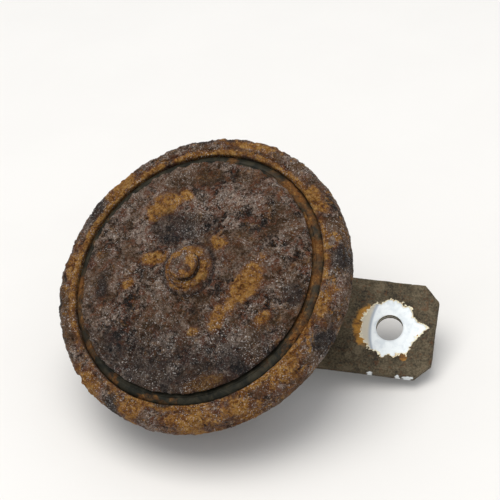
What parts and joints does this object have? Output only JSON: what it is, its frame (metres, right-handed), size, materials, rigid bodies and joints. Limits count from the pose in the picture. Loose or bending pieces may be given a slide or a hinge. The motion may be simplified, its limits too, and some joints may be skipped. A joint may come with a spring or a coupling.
{
  "type": "electromagnetic disc horn",
  "caption": "Round electromagnetic disc horn with a domed tone disc on a sprung membrane, crimped bezel, bowl casing and a bent two-leaf bracket that swivels on the rear stud.",
  "frame": {"origin": "centre of the bracket's mounting hole, half way through its two leaves", "axes": "+Z along the horn's own axis, out of its face; +X from the horn's axis towards the mounting hole; +Y completes the set"},
  "size_m": [0.1115, 0.0956, 0.0571],
  "materials": {
    "bracket_steel": "worn dark paint over steel, bare zinc at the hole",
    "casing_steel": "rusted pressed steel",
    "ring_steel": "rust scale on pressed steel",
    "disc_steel": "dark rust scale with ochre patches",
    "membrane_steel": "dark green-grey paint, rusting at the bead",
    "fastener_steel": "rusted steel",
    "soft_iron": "dull soft iron",
    "gasket": "oiled fibre sheet",
    "copper_winding": "enamelled copper wire",
    "fibre": "brown vulcanised fibre",
    "bakelite": "dark brown phenolic moulding",
    "terminal_brass": "tarnished brass",
    "contact_metal": "tungsten and spring steel",
    "resistor": "wound resistor under lacquer",
    "lead_wire": "varnished cotton-covered wire"
  },
  "bodies": {
    "bracket": {"bracket_leaf_front": "bracket_steel", "bracket_leaf_rear": "bracket_steel"},
    "horn": {"housing": "casing_steel", "front_ring": "ring_steel", "front_gasket": "gasket", "rear_gasket": "gasket", "back_plate": "casing_steel", "mounting_stud": "fastener_steel", "spring_washer": "fastener_steel", "stud_nut": "fastener_steel", "magnet_core": "soft_iron", "core_rivets": "fastener_steel", "coil_bobbin": "fibre", "coil_winding": "copper_winding", "breaker_bracket": "fastener_steel", "breaker_block": "bakelite", "breaker_screws": "terminal_brass", "fixed_contact_arm": "terminal_brass", "fixed_contact": "contact_metal", "suppressor": "resistor", "suppressor_clip": "fastener_steel", "adjuster_bush": "terminal_brass", "adjuster_lock_nut": "fastener_steel", "terminal_block": "bakelite", "terminal_bushes": "fibre", "terminal_studs": "terminal_brass", "terminal_washers": "terminal_brass", "terminal_nuts": "terminal_brass", "coil_lead": "lead_wire", "breaker_lead": "lead_wire"},
    "membrane_stack": {"diaphragm": "membrane_steel", "front_clamp_washer": "fastener_steel", "rear_clamp_washer": "fastener_steel", "armature": "soft_iron", "armature_spindle": "soft_iron", "pusher": "fibre", "spacer": "fastener_steel", "tone_disc": "disc_steel", "centre_washer": "fastener_steel", "centre_bolt": "fastener_steel"},
    "breaker_blade": {"contact_blade": "contact_metal", "moving_contact": "contact_metal"},
    "adjuster": {"adjusting_screw": "fastener_steel"}
  },
  "joints": [
    {"name": "horn_swivel", "type": "hinge", "parent": "bracket", "child": "horn", "pos_m": [-0.04969, 0, 0.0074], "axis": [0, 0, 1], "range_deg": [-45, 45]},
    {"name": "membrane_stroke", "type": "slide", "parent": "horn", "child": "membrane_stack", "axis": [0, 0, -1], "range_m": [0, 0.0008], "stiffness_N_per_m": 20000, "deforming": ["diaphragm"]},
    {"name": "blade_swing", "type": "hinge", "parent": "horn", "child": "breaker_blade", "pos_m": [-0.07788, -0.01026, 0.0296], "axis": [-0.342, 0.9397, 0], "range_deg": [0, 2.7]},
    {"name": "adjuster_turn", "type": "hinge", "parent": "horn", "child": "adjuster", "pos_m": [-0.07224, -0.00821, 0.0069], "axis": [0, 0, 1], "range_deg": [-180, 180]}
  ],
  "couplings": [
    {"joint": "blade_swing", "follows": "membrane_stroke", "rad_per_m": 57.143}
  ]
}
